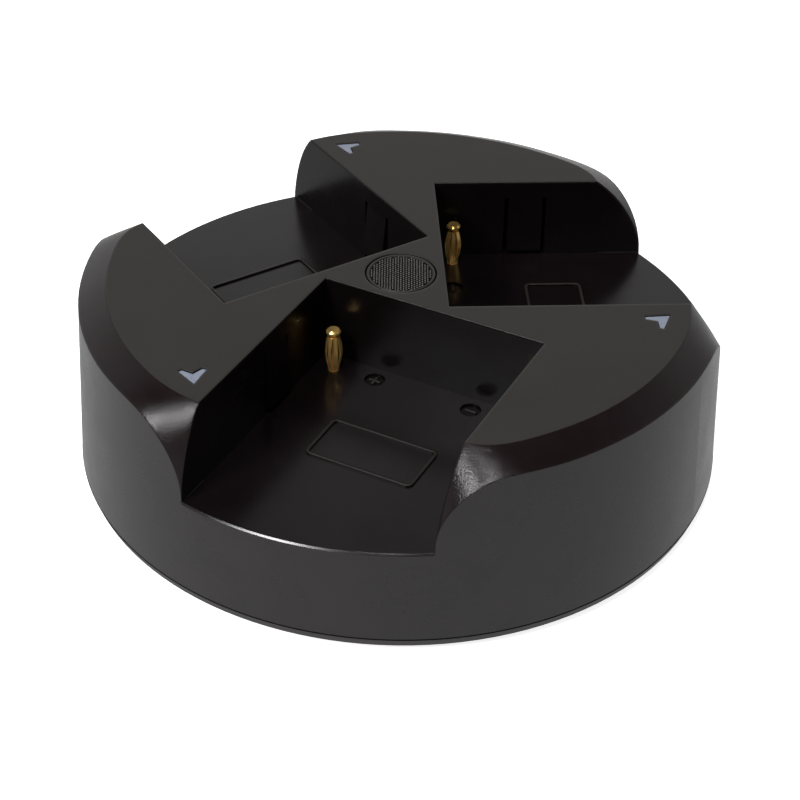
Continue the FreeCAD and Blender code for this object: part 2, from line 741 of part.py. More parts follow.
def make_indicator_window(turns):
    """An arrow-shaped light pipe that stands on the board, over its lamp."""
    body = new_body(f"indicator_window_{turns + 1}", turns)
    sketch = sketch_on(body, "XY_Plane", "pipe_foot_outline", lift=BOARD_TOP)
    lamp_box(sketch, "pipe_foot_length", "pipe_foot_width")
    extrude("Pad", body, "pipe_foot", sketch, f"{PIPE_FOOT_TOP} - {BOARD_TOP}")
    sketch = sketch_on(body, "XY_Plane", "arrow", lift=f"{PIPE_FOOT_TOP} - pipe_foot_overlap")
    arrow_outline(sketch, "0")
    length = f"{TOP} - arrow_sink - {PIPE_FOOT_TOP} + pipe_foot_overlap"
    extrude("Pad", body, "light_pipe", sketch, length)
    sketch = sketch_on(body, "XY_Plane", "lamp_hollow_outline", lift=BOARD_TOP)
    lamp_box(sketch, "(lamp_length + 2 * lamp_clearance)", "(lamp_width + 2 * lamp_clearance)")
    extrude("Pocket", body, "lamp_hollow", sketch, "lamp_height + lamp_clearance", back=True)
    return body


def make_indicator_led(turns):
    """A surface-mounted lamp: a carrier with a smaller lens block on it."""
    body = new_body(f"indicator_led_{turns + 1}", turns)
    sketch = sketch_on(body, "XY_Plane", "carrier_outline", lift=BOARD_TOP)
    lamp_box(sketch, "lamp_length", "lamp_width")
    extrude("Pad", body, "carrier", sketch, "lamp_height / 2")
    sketch = sketch_on(body, "XY_Plane", "lens_outline", lift=f"{BOARD_TOP} + lamp_height / 2")
    lamp_box(sketch, "lens_length", "lens_width")
    extrude("Pad", body, "lens", sketch, "lamp_height / 2")
    return body


# Contact pins

def make_contact_pin(index, turns, side):
    """A turned pin: shank from the board through the floor, core and bevelled cap."""
    body = new_body(f"contact_pin_{index}", turns)
    sketch = sketch_on(body, "XZ_Plane", "pin_section", lift="pin_row", along=side)
    edge = "cap_height / 2"
    corners = [
        ("0", BOARD_TOP), ("shank_radius", BOARD_TOP), ("shank_radius", FLOOR),
        ("core_radius", FLOOR), ("core_radius", NECK),
        ("cap_radius", f"{PIN_TOP} - cap_height"), ("cap_radius", f"{PIN_TOP} - {edge}"),
        (f"cap_radius - {edge}", PIN_TOP), ("0", PIN_TOP),
    ]
    outline(sketch, corners)
    revolve("Revolution", body, "pin", sketch)
    return body


def make_contact_spring(index, turns, side):
    """A crown of bowed leaves round a pin's core, standing on a ring and ending under the cap."""
    body = new_body(f"contact_spring_{index}", turns)
    sketch = sketch_on(body, "XZ_Plane", "leaf_section", lift="pin_row", along=side)
    bow_low = f"({FLOOR} + spring_band)"
    inner = "(spring_end - spring_wall)"
    outer_line = []
    inner_line = []
    for step in range(SPRING_STEPS + 1):
        level = f"({bow_low} + ({NECK} - {bow_low}) * {step / SPRING_STEPS})"
        bow = f"(spring_bulge - spring_end) * sin({180 * step / SPRING_STEPS})"
        outer_line.append((f"spring_end + {bow}", level))
        inner_line.append((f"{inner} + {bow}", level))
    corners = [(inner, FLOOR), ("spring_end", FLOOR)] + outer_line + inner_line[::-1]
    outline(sketch, corners)
    leaf = extrude("Pad", body, "leaf", sketch, "spring_leaf")
    leaf.SideType = "Symmetric"
    repeat_round(body, "leaves", [leaf], SPRING_LEAVES, sketch)
    sketch = sketch_on(body, "XY_Plane", "ring_outlines", lift=FLOOR)
    for radius in ("spring_end", inner):
        corners = []
        for corner in range(SPRING_LEAVES):
            angle = f"({corner} * 360 deg / {SPRING_LEAVES})"
            corners.append((f"{side} + {radius} * cos({angle})", f"{radius} * sin({angle}) - pin_row"))
        outline(sketch, corners)
    extrude("Pad", body, "ring", sketch, "spring_band")
    return body


# Circuit board and what it carries

def make_circuit_board():
    """The round board under the bay floors, with holes for bosses and screws."""
    body = new_body("main_circuit_board")
    sketch = sketch_on(body, "XY_Plane", "board_circle", lift=BOARD_UNDER)
    circle(sketch, "0", "0", "(base_radius - board_inset)")
    extrude("Pad", body, "board", sketch, "board_thickness")
    sketch = sketch_on(body, "XY_Plane", "board_hole_circles", lift=BOARD_UNDER)
    circle(sketch, COVER_SCREW_SIDE, "-cover_screw_row", "(cover_screw_boss + board_clearance)")
    circle(sketch, "bay_shift", f"-{BOARD_SCREW_ROW}", "(board_screw_radius + screw_clearance)")
    holes = extrude("Pocket", body, "board_holes", sketch, "board_thickness", back=True)
    repeat_round(body, "all_board_holes", [holes])
    return body


def box_pad(body, name, centre, length, width, low, high):
    """A block between two levels, about a place on the board."""
    side, row = centre
    sketch = sketch_on(body, "XY_Plane", f"{name}_outline", lift=low)
    left = f"({side}) - ({length}) / 2"
    near = f"-({row}) - ({width}) / 2"
    box_outline(sketch, left, near, f"({side}) + ({length}) / 2", f"-({row}) + ({width}) / 2")
    return extrude("Pad", body, name, sketch, f"({high}) - ({low})")


def make_inductor(turns):
    """A shielded inductor with cut corners and a sunken ferrite core."""
    body = new_body(f"inductor_{turns + 1}", turns)
    low = f"({BOARD_UNDER} - coil_height)"
    sketch = sketch_on(body, "XY_Plane", "shield_outline", lift=low)
    half = "coil_width / 2"
    cut = f"({half} - coil_corner)"
    points = [(cut, f"(0 - {half})"), (half, f"(0 - {cut})")]
    corners = []
    for turn in range(4):
        corners += [(f"coil_side + {x}", f"{y} - {COIL_ROW}") for x, y in points]
        points = [(f"(0 - {y})", x) for x, y in points]
    outline(sketch, corners)
    extrude("Pad", body, "shield", sketch, "coil_height")
    sketch = sketch_on(body, "XY_Plane", "core_circle", lift=low)
    circle(sketch, "coil_side", f"-{COIL_ROW}", "coil_core_radius")
    extrude("Pocket", body, "core_recess", sketch, "coil_core_depth", back=True)
    return body


def make_capacitor(turns):
    """A bevelled can capacitor on a square base."""
    body = new_body(f"capacitor_{turns + 1}", turns)
    low = f"({BOARD_UNDER} - can_height)"
    base = f"({BOARD_UNDER} - can_base)"
    sketch = sketch_on(body, "XZ_Plane", "can_section", lift=CAN_ROW, along="can_side")
    corners = [
        ("0", low), ("can_radius - can_bevel", low), ("can_radius", f"{low} + can_bevel"),
        ("can_radius", base), ("0", base),
    ]
    outline(sketch, corners)
    revolve("Revolution", body, "can", sketch)
    width = "2 * (can_radius + can_base_margin)"
    box_pad(body, "can_base_block", ("can_side", CAN_ROW), width, width, base, BOARD_UNDER)
    return body


def make_charge_controller(turns):
    """An eight-lead charging chip."""
    body = new_body(f"charge_controller_{turns + 1}", turns)
    face = f"{BOARD_UNDER} - chip_lead_thickness / 2"
    low = f"{BOARD_UNDER} - chip_height"
    box_pad(body, "chip_body", ("chip_side", "chip_row"), "chip_length", "chip_width", low, face)
    sketch = sketch_on(body, "XY_Plane", "lead_outlines", lift=f"{BOARD_UNDER} - chip_lead_thickness")
    for place in (-1.5, -0.5, 0.5, 1.5):
        middle = f"chip_side + {place} * chip_lead_pitch"
        reach = "(chip_width / 2 + chip_lead_reach)"
        left = f"{middle} - chip_lead_width / 2"
        box_outline(sketch, left, f"-chip_row - {reach}", f"{middle} + chip_lead_width / 2",
                    f"-chip_row + {reach}")
    extrude("Pad", body, "leads", sketch, "chip_lead_thickness")
    return body


def make_power_transistor(turns):
    """A power transistor with a soldered tab and two leads."""
    body = new_body(f"power_transistor_{turns + 1}", turns)
    centre = ("transistor_side", "transistor_row")
    low = f"{BOARD_UNDER} - transistor_height"
    tab_low = f"{BOARD_UNDER} - transistor_tab_thickness"
    half_tab = "transistor_tab_thickness / 2"
    box_pad(body, "case", centre, "transistor_width", "transistor_length", low, f"{BOARD_UNDER} - {half_tab}")
    tab_row = "transistor_row + transistor_length / 2"
    box_pad(body, "tab", ("transistor_side", tab_row), "transistor_tab_width",
            "2 * transistor_tab", tab_low, BOARD_UNDER)
    lead_row = "transistor_row - transistor_length / 2"
    for lead, sign in (("left", "-"), ("right", "+")):
        side = f"transistor_side {sign} transistor_lead_spacing / 2"
        box_pad(body, f"{lead}_lead", (side, lead_row), "transistor_lead_width",
                "2 * transistor_lead_reach", tab_low, BOARD_UNDER)
    return body


# Low-voltage inlet

def make_inlet_jack():
    """The inlet's body under the board, with its nose in the housing's rear wall."""
    body = new_body("dc_inlet_jack")
    row = f"(inlet_length / 2 - {INLET_FACE})"
    low = f"({BOARD_UNDER} - inlet_height)"
    box_pad(body, "jack_body", ("0", row), "inlet_width", "inlet_length", low, BOARD_UNDER)
    sketch = sketch_on(body, "XZ_Plane", "nose_circle", lift=f"-{INLET_FACE}")
    circle(sketch, "0", INLET_LEVEL, "inlet_nose_radius")
    extrude("Pad", body, "nose", sketch, "inlet_nose", back=True)
    mouth = f"-({INLET_FACE} + inlet_nose)"
    for name, radius, depth in (("bore", "inlet_bore_radius", "inlet_bore_depth"),
                                ("pin_seat", "(inlet_pin_radius + screw_fit)", "inlet_length")):
        sketch = sketch_on(body, "XZ_Plane", f"{name}_circle", lift=mouth)
        circle(sketch, "0", INLET_LEVEL, radius)
        extrude("Pocket", body, name, sketch, depth, back=True)
    return body


def make_inlet_pin():
    """The inlet's centre pin with its bevelled tip, lying along the bore."""
    body = new_body("dc_inlet_pin")
    start = f"{INLET_FACE} + inlet_nose - inlet_length"
    tip = f"{INLET_FACE} + inlet_nose - inlet_pin_setback"
    bevel = "inlet_pin_radius / 2"
    sketch = sketch_on(body, "XY_Plane", "pin_section", lift=INLET_LEVEL)
    corners = [
        ("0", start), ("inlet_pin_radius", start), ("inlet_pin_radius", f"{tip} - {bevel}"),
        (f"inlet_pin_radius - {bevel}", tip), ("0", tip),
    ]
    outline(sketch, corners)
    revolve("Revolution", body, "pin", sketch)
    return body


def make_parts():
    """Every piece of the charger, each in the place where it is fitted."""
    parts = [make_upper_housing(), make_base_cover(), make_centre_disc(), make_circuit_board()]
    parts += [make_inlet_jack(), make_inlet_pin()]
    board_place = ("bay_shift", BOARD_SCREW_ROW)
    parts.append(make_screws("board_screws", board_place, BOARD_UNDER, "board_screw", BOARD_TIP))
    cover_place = (COVER_SCREW_SIDE, "cover_screw_row")
    cover_tip = f"({POST_TOP} + cover_screw_bite)"
    parts.append(make_screws("cover_screws", cover_place, COVER_SEAT, "cover_screw", cover_tip))
    makers = [
        make_rubber_foot, make_indicator_window, make_indicator_led, make_inductor,
        make_capacitor, make_charge_controller, make_power_transistor,
    ]
    for turns in range(BAY_COUNT):
        parts += [maker(turns) for maker in makers]
        for place, side in enumerate(PIN_SIDES, start=1):
            index = len(PIN_SIDES) * turns + place
            parts.append(make_contact_pin(index, turns, side))
            parts.append(make_contact_spring(index, turns, side))
    return parts


parts = make_parts()
doc.recompute()

# Check every object and write one file for each piece

for item in doc.Objects:
    if "Invalid" in item.State or "Error" in item.State:
        raise ValueError(f"{item.Name} failed: {item.State}")
for item in parts:
    if item.Shape.isNull() or not item.Shape.isValid():
        raise ValueError(f"{item.Label} has no valid shape")
os.makedirs("parts", exist_ok=True)
for item in parts:
    item.Shape.exportStep(f"parts/{item.Label}.step")
    print(item.Label, len(item.Shape.Solids), round(item.Shape.Volume, 1))
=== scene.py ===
import math

import bmesh
import bpy
from mathutils import Matrix, Vector


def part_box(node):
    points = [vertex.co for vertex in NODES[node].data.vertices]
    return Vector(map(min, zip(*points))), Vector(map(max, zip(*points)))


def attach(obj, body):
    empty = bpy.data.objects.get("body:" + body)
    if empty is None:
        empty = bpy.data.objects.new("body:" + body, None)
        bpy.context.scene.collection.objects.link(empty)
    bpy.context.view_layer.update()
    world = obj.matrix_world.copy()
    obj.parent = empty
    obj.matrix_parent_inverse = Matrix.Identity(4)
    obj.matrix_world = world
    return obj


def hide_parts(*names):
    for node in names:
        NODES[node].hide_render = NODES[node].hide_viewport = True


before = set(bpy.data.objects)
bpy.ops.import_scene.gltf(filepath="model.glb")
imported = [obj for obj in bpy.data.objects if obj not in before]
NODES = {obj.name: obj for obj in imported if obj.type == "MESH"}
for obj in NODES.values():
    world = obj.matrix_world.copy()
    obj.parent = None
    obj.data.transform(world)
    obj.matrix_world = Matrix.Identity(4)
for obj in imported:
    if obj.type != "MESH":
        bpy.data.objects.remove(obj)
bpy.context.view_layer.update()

# Looks of the three-bay battery charger, in metres. The solids of the frame give every place.

MM = 0.001
BAYS = (1, 2, 3)
PINS = (1, 2, 3, 4, 5, 6)

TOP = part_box("upper_housing")[1].z
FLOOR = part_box("contact_spring_1")[0].z
DISC_LOW, DISC_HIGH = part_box("centre_disc")
DISC_RADIUS = (DISC_HIGH.x - DISC_LOW.x) / 2
HOUSING_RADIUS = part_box("upper_housing")[1].x


# Node trees

def set_inputs(tree, sockets, values):
    """Give each socket a value, or a link where the value is a socket itself."""
    for socket, value in zip(sockets, values):
        if isinstance(value, bpy.types.NodeSocket):
            tree.links.new(value, socket)
        else:
            socket.default_value = value


def add_node(tree, kind, **inputs):
    """A node with its inputs, named by keywords, set or linked."""
    node = tree.nodes.new(kind)
    sockets = [node.inputs[name.replace("_", " ")] for name in inputs]
    set_inputs(tree, sockets, inputs.values())
    return node


def arithmetic(tree, operation, first, second):
    """One sum of two values or sockets."""
    node = tree.nodes.new("ShaderNodeMath")
    node.operation = operation
    set_inputs(tree, node.inputs, (first, second))
    return node.outputs["Value"]


# Materials

EDGE_SAMPLES = 8
RIM_ZONE = 0.87 * HOUSING_RADIUS
NOISE_LOW = 0.3
NOISE_HIGH = 0.7


class Finish:
    """A node material with one principled shader, built up step by step."""

    def __init__(self, name, colour, roughness, metallic=0.0, specular=0.5, rounding=0.0,
                 rounding_above=0.0):
        self.material = bpy.data.materials.new(name)
        self.material.use_nodes = True
        self.tree = self.material.node_tree
        self.shader = self.tree.nodes["Principled BSDF"]
        self.shader.inputs["Base Color"].default_value = (*colour, 1)
        self.shader.inputs["Roughness"].default_value = roughness
        self.shader.inputs["Metallic"].default_value = metallic
        self.shader.inputs["Specular IOR Level"].default_value = specular
        self.material.diffuse_color = (*colour, 1)
        self.place = self.add("ShaderNodeTexCoord").outputs["Object"]
        self.height = None
        if rounding:
            self.round_edges(rounding, rounding_above)

    def round_edges(self, radius, above):
        """Soften the edges above a level, and those near the rim."""
        parts = self.add("ShaderNodeSeparateXYZ", Vector=self.place)
        flat = self.add("ShaderNodeCombineXYZ", X=parts.outputs["X"], Y=parts.outputs["Y"])
        reach = self.add("ShaderNodeVectorMath", Vector=flat.outputs["Vector"])
        reach.operation = "LENGTH"
        high = arithmetic(self.tree, "GREATER_THAN", parts.outputs["Z"], above)
        outside = arithmetic(self.tree, "GREATER_THAN", reach.outputs["Value"], RIM_ZONE)
        edge_zone = arithmetic(self.tree, "MAXIMUM", high, outside)
        bevel = self.add("ShaderNodeBevel", Radius=arithmetic(self.tree, "MULTIPLY", edge_zone, radius))
        bevel.samples = EDGE_SAMPLES
        self.height = bevel.outputs["Normal"]
        self.tree.links.new(self.height, self.shader.inputs["Normal"])

    def add(self, kind, **inputs):
        """A node of this material with its inputs."""
        return add_node(self.tree, kind, **inputs)

    def noise(self, size, detail=3.0, roughness=0.6):
        """Noise with features of about that size."""
        node = self.add("ShaderNodeTexNoise", Vector=self.place, Scale=1 / size, Detail=detail,
                        Roughness=roughness)
        return node.outputs["Fac"]

    def spread(self, value, low, high):
        """Map a texture's middle range to a range of values."""
        node = self.add("ShaderNodeMapRange", Value=value, From_Min=NOISE_LOW, From_Max=NOISE_HIGH,
                        To_Min=low, To_Max=high)
        return node.outputs["Result"]

    def tint(self, value, dark, light):
        """Vary the base colour between two colours."""
        node = self.add("ShaderNodeMix")
        node.data_type = "RGBA"
        self.tree.links.new(value, node.inputs[0])
        node.inputs[6].default_value = (*dark, 1)
        node.inputs[7].default_value = (*light, 1)
        self.tree.links.new(node.outputs[2], self.shader.inputs["Base Color"])
        return self

    def vary_roughness(self, value, low, high):
        """Vary the roughness between two values."""
        self.tree.links.new(self.spread(value, low, high), self.shader.inputs["Roughness"])
        return self

    def bump(self, value, depth):
        """Lay a relief of that depth over the surface, on top of any earlier one."""
        node = self.add("ShaderNodeBump", Height=value, Distance=depth)
        if self.height:
            self.tree.links.new(self.height, node.inputs["Normal"])
        self.height = node.outputs["Normal"]
        self.tree.links.new(self.height, self.shader.inputs["Normal"])
        return self


MOTTLE_SIZE = 9 * MM
GLOSS_CHANGE = 0.04


def moulded_plastic(name, dark, light, roughness, grain=0.16 * MM, depth=0.02 * MM, **shading):
    """Black plastic with a fine moulded grain, uneven gloss and faint mottling."""
    finish = Finish(name, light, roughness, **shading)
    fine = finish.noise(grain, detail=2.0, roughness=0.55)
    broad = finish.noise(MOTTLE_SIZE, detail=4.0)
    finish.tint(finish.spread(broad, 0, 1), dark, light)
    finish.vary_roughness(broad, roughness - GLOSS_CHANGE, roughness + GLOSS_CHANGE)
    finish.bump(fine, depth)
    return finish.material


def rubber():
    """Matte black rubber with a dusty bloom."""
    finish = Finish("foot_rubber", (0.03, 0.03, 0.03), 0.8)
    bloom = finish.noise(2 * MM, detail=5.0)
    finish.tint(finish.spread(bloom, 0, 1), (0.02, 0.02, 0.02), (0.05, 0.049, 0.047))
    finish.vary_roughness(bloom, 0.7, 0.9)
    finish.bump(finish.noise(0.12 * MM), 0.02 * MM)
    return finish.material


POLISH = 0.05
WEAR = 0.08


def metal(name, dark, light, roughness, grain, depth, metallic=1.0):
    """Plated metal with slight handling marks."""
    finish = Finish(name, light, roughness, metallic=metallic)
    marks = finish.noise(grain, detail=4.0)
    finish.tint(finish.spread(marks, 0, 1), dark, light)
    finish.vary_roughness(marks, roughness - POLISH, roughness + WEAR)
    finish.bump(marks, depth)
    return finish.material


def solder_mask():
    """Green lacquer over copper tracks, which show as slightly raised lighter bands."""
    finish = Finish("board_green", (0.02, 0.12, 0.05), 0.3)
    cells = finish.add("ShaderNodeTexBrick", Vector=finish.place, Scale=1.0, Mortar_Size=0.5 * MM,
                       Brick_Width=6 * MM, Row_Height=2.4 * MM)
    tracks = cells.outputs["Fac"]
    finish.tint(tracks, (0.015, 0.09, 0.035), (0.03, 0.17, 0.07))
    finish.vary_roughness(finish.noise(3 * MM), 0.25, 0.4)
    finish.bump(tracks, 0.05 * MM)
    return finish.material


def light_pipe():
    """Smoked light pipe, blue-grey and satin."""
    finish = Finish("window_grey", (0.17, 0.2, 0.27), 0.3)
    cloud = finish.noise(1.2 * MM, detail=2.0)
    finish.tint(finish.spread(cloud, 0, 1), (0.15, 0.17, 0.22), (0.2, 0.22, 0.27))
    finish.vary_roughness(cloud, 0.25, 0.38)
    finish.bump(finish.noise(0.15 * MM), 0.01 * MM)
    return finish.material


ROUNDING = 0.6 * MM
ROOF_ZONE = TOP - 1.2 * MM
FLOOR_ZONE = FLOOR + 0.02 * MM
TOP_PLASTIC = moulded_plastic("top_plastic", (0.0105, 0.0085, 0.007), (0.0145, 0.0118, 0.0098), 0.48,
                              depth=0.025 * MM, specular=0.42, rounding=ROUNDING)
SIDE_PLASTIC = moulded_plastic("side_plastic", (0.0115, 0.01, 0.0102), (0.015, 0.0132, 0.0133), 0.28,
                               depth=0.01 * MM, rounding=0.3 * MM)
# The band is a darker copy of the top plastic: its darkness is painted shade.
BAND_PLASTIC_PAINTED_SHADE = moulded_plastic("band_plastic_painted_shade", (0.006, 0.0036, 0.004), (0.0082, 0.0052, 0.0058), 0.2,
                               grain=0.25 * MM, depth=0.05 * MM, specular=0.24, rounding=ROUNDING)
# The bay floors take a darker copy of the top plastic: the darkness is painted shade in the bays.
BAY_PLASTIC_PAINTED_SHADE = moulded_plastic("bay_plastic_painted_shade", (0.0034, 0.002, 0.0024), (0.0046, 0.003, 0.0034), 0.23,
                              depth=0.008 * MM, specular=0.42, rounding=0.15 * MM, rounding_above=FLOOR_ZONE)
# The bay walls take the darkest copy of the top plastic: the darkness is painted shade in the bays.
WALL_PLASTIC_PAINTED_SHADE = moulded_plastic("wall_plastic_painted_shade", (0.002, 0.0013, 0.0015), (0.003, 0.002, 0.0022), 0.24,
                               depth=0.005 * MM, specular=0.14, rounding=ROUNDING, rounding_above=ROOF_ZONE)
# Lighter than the housing plastic: painted reflection of the floor on the base cover.
COVER_PLASTIC_PAINTED_REFLECTION = moulded_plastic("cover_plastic_painted_reflection", (0.022, 0.0192, 0.019), (0.028, 0.0245, 0.0242), 0.4)
SEAM_SHADOW = moulded_plastic("seam_shadow", (0.0012, 0.001, 0.001), (0.002, 0.0018, 0.0018), 0.9,
                              specular=0.1)
# The dots take a lighter copy of the black plastic: painted light on the dot tops.
DISC_DOTS_PAINTED_LIGHT = moulded_plastic("disc_dots_painted_light", (0.048, 0.043, 0.038), (0.06, 0.054, 0.048), 0.45)
INNER_PLASTIC = moulded_plastic("inner_plastic", (0.004, 0.004, 0.004), (0.006, 0.006, 0.006), 0.5)
PART_BLACK = moulded_plastic("part_black", (0.016, 0.016, 0.017), (0.028, 0.028, 0.03), 0.55)
FERRITE = moulded_plastic("ferrite", (0.03, 0.03, 0.032), (0.06, 0.06, 0.062), 0.6)
LAMP_BODY = moulded_plastic("lamp_body", (0.6, 0.57, 0.48), (0.72, 0.7, 0.62), 0.4)
GOLD = metal("contact_gold", (0.88, 0.52, 0.13), (1.0, 0.7, 0.26), 0.16, 3 * MM, 0.001 * MM, metallic=0.85)
STEEL = metal("screw_steel", (0.45, 0.45, 0.46), (0.62, 0.62, 0.63), 0.35, 0.6 * MM, 0.01 * MM)
NICKEL = metal("inlet_nickel", (0.62, 0.59, 0.54), (0.78, 0.75, 0.7), 0.22, 0.5 * MM, 0.005 * MM)
ALUMINIUM = metal("can_aluminium", (0.6, 0.61, 0.63), (0.78, 0.79, 0.81), 0.38, 0.8 * MM, 0.01 * MM)
RUBBER = rubber()
BOARD = solder_mask()
WINDOW = light_pipe()


# Housing

# The regions take copies of one black plastic; the band, bay floor and wall copies are darker, painted
# shade.
REGION_MATERIALS = (TOP_PLASTIC, SIDE_PLASTIC, BAND_PLASTIC_PAINTED_SHADE, BAY_PLASTIC_PAINTED_SHADE, WALL_PLASTIC_PAINTED_SHADE, INNER_PLASTIC)
ON_TOP, ON_SIDE, ON_BAND, ON_FLOOR, ON_WALL, INSIDE = range(len(REGION_MATERIALS))
WINDOW_LOW, WINDOW_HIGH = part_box("indicator_window_1")
BEAD_LEVEL = FLOOR + 0.3 * MM
SIGN_LEVEL = FLOOR - 0.1 * MM
DISH_LEVEL = FLOOR - 0.4 * MM


def near_window(place):
    """True inside the opening of a light pipe."""
    for bay in BAYS:
        turned = Matrix.Rotation(-2 * math.pi * bay / len(BAYS), 3, "Z") @ place
        if WINDOW_LOW.x < turned.x < WINDOW_HIGH.x and WINDOW_LOW.y < turned.y < WINDOW_HIGH.y:
            return True
    return False


LEVEL_FACE = 0.99
FACING_UP = 0.5
UPRIGHT = 0.1
LOOKING_OUT = 0.9
LEANING_OUT = 0.15
SAME_LEVEL = 0.02 * MM
RIM_RADIUS = 0.9 * HOUSING_RADIUS
BAND_RADIUS = 0.75 * HOUSING_RADIUS
BAND_START = FLOOR + 0.5 * MM
BAY_START = FLOOR - MM


def region_of(face):
    """The region of the housing that a face belongs to."""
    centre = face.center
    normal = face.normal
    radius = math.hypot(centre.x, centre.y)
    outward = (normal.x * centre.x + normal.y * centre.y) / max(radius, MM)
    level = normal.z > LEVEL_FACE
    if level and abs(centre.z - TOP) < SAME_LEVEL:
        return ON_TOP
    if radius < DISC_RADIUS + MM or near_window(centre):
        return INSIDE
    if outward > LOOKING_OUT and abs(normal.z) < UPRIGHT and radius > RIM_RADIUS:
        return ON_SIDE
    if outward > LEANING_OUT and normal.z > UPRIGHT and radius > BAND_RADIUS and centre.z > BAND_START:
        return ON_BAND
    # Bead and sign tops take the lighter top plastic: painted light on these raised tops.
    if level and min(abs(centre.z - BEAD_LEVEL), abs(centre.z - SIGN_LEVEL)) < SAME_LEVEL:
        return ON_TOP
    # Dish floors take the darkest wall plastic: painted shade in the recessed dishes.
    if level and abs(centre.z - DISH_LEVEL) < SAME_LEVEL:
        return ON_WALL
    if centre.z > BAY_START and normal.z > FACING_UP:
        return ON_FLOOR
    if centre.z > BAY_START and normal.z > -FACING_UP:
        return ON_WALL
    return INSIDE


FLAT_UP = 0.999
FLAT_WALL = 0.01


def make_housing():
    """The upper housing, with each region in its own plastic."""
    mesh = NODES["upper_housing"].data.copy()
    mesh.materials.clear()
    for material in REGION_MATERIALS:
        mesh.materials.append(material)
    normals = [corner.vector.copy() for corner in mesh.corner_normals]
    for face in mesh.polygons:
        face.material_index = region_of(face)
        level = face.material_index != INSIDE and face.normal.z > FLAT_UP
        upright = face.material_index == ON_WALL and abs(face.normal.z) < FLAT_WALL
        if level or upright:
            for corner in face.loop_indices:
                normals[corner] = face.normal.copy()
    mesh.normals_split_custom_set(normals)
    piece = bpy.data.objects.new("housing", mesh)
    bpy.context.scene.collection.objects.link(piece)
    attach(piece, "root")
    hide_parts("upper_housing")


def new_piece(name, shape, material):
    """A piece of the scene from mesh code, carried by the charger."""
    mesh = bpy.data.meshes.new(name)
    shape.to_mesh(mesh)
    shape.free()
    mesh.materials.append(material)
    piece = bpy.data.objects.new(name, mesh)
    bpy.context.scene.collection.objects.link(piece)
    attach(piece, "root")


def lathe(shape, profile, steps, centre=(0, 0)):
    """Turn a profile of radii and levels round an upright axis and give its faces."""
    rings = []
    for radius, level in profile:
        ring = []
        for step in range(steps):
            angle = 2 * math.pi * step / steps
            ring.append(shape.verts.new((centre[0] + radius * math.cos(angle),
                                         centre[1] + radius * math.sin(angle), level)))
        rings.append(ring)
    faces = []
    for low, high in zip(rings, rings[1:]):
        for step in range(steps):
            after = (step + 1) % steps
            faces.append(shape.faces.new((low[step], low[after], high[after], high[step])))
    return rings, faces


SEAM_RADIUS = HOUSING_RADIUS + 0.015 * MM
SEAM_DEPTH = 0.2 * MM
SEAM_HEIGHT = 0.22 * MM
SEAM_STEPS = 256


def make_parting_seam():
    """The fine shadow line between the housing and the base cover."""
    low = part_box("upper_housing")[0].z
    high = low + SEAM_HEIGHT
    shape = bmesh.new()
    lathe(shape, [(SEAM_RADIUS - SEAM_DEPTH, low), (SEAM_RADIUS, low), (SEAM_RADIUS, high),
                  (SEAM_RADIUS - SEAM_DEPTH, high)], SEAM_STEPS)
    new_piece("parting_seam", shape, SEAM_SHADOW)


DOT_PITCH = 0.6 * MM
DOT_ROW_PITCH = 0.45 * MM
DOT_RADIUS = 0.17 * MM
DOT_HEIGHT = 0.13 * MM
DOT_SIDES = 8
DOT_ROWS_TURN = math.radians(27)
DISC_FACE = DISC_HIGH.z - 0.15 * MM
DOT_FIELD = DISC_RADIUS - 0.62 * MM
DOT_SINK = 0.02 * MM
# The sheet of painted shade between the dots lies just above the disc face.
GAP_SHADE_LEVEL = DISC_FACE + 0.015 * MM
GAP_SHADE_RADIUS = DOT_FIELD + 0.3 * MM
GAP_SHADE_CENTRE = 0.1 * MM
GAP_SHADE_STEPS = 96


def make_disc_dots():
    """The fine raised dots that cover the centre disc."""
    shape = bmesh.new()
    profile = [(DOT_RADIUS, DISC_FACE - DOT_SINK), (0.8 * DOT_RADIUS, DISC_FACE + 0.7 * DOT_HEIGHT),
               (0.4 * DOT_RADIUS, DISC_FACE + DOT_HEIGHT)]
    count = int(DOT_FIELD / DOT_ROW_PITCH)
    for row in range(-count, count + 1):
        for column in range(-count, count + 1):
            across = column + 0.5 * (row % 2)
            place = Matrix.Rotation(DOT_ROWS_TURN, 2) @ Vector((row * DOT_ROW_PITCH, across * DOT_PITCH))
            if place.length > DOT_FIELD:
                continue
            rings, faces = lathe(shape, profile, DOT_SIDES, place)
            faces.append(shape.faces.new(rings[-1]))
            for face in faces:
                face.smooth = True
    # The lighter plastic of the dots is painted light on their tops.
    new_piece("disc_dots", shape, DISC_DOTS_PAINTED_LIGHT)


def make_disc_gap_shade():
    """A dark sheet between the dots of the centre disc: painted shade between the raised dots."""
    shape = bmesh.new()
    rings, _ = lathe(shape, [(GAP_SHADE_CENTRE, GAP_SHADE_LEVEL), (GAP_SHADE_RADIUS, GAP_SHADE_LEVEL)], GAP_SHADE_STEPS)
    shape.faces.new(rings[0])
    new_piece("disc_gap_shade", shape, SEAM_SHADOW)


# Solids that stay, with their finishes

def dress(material, *names):
    """Give solids of the frame a material."""
    for name in names:
        mesh = NODES[name].data
        mesh.materials.clear()
        mesh.materials.append(material)


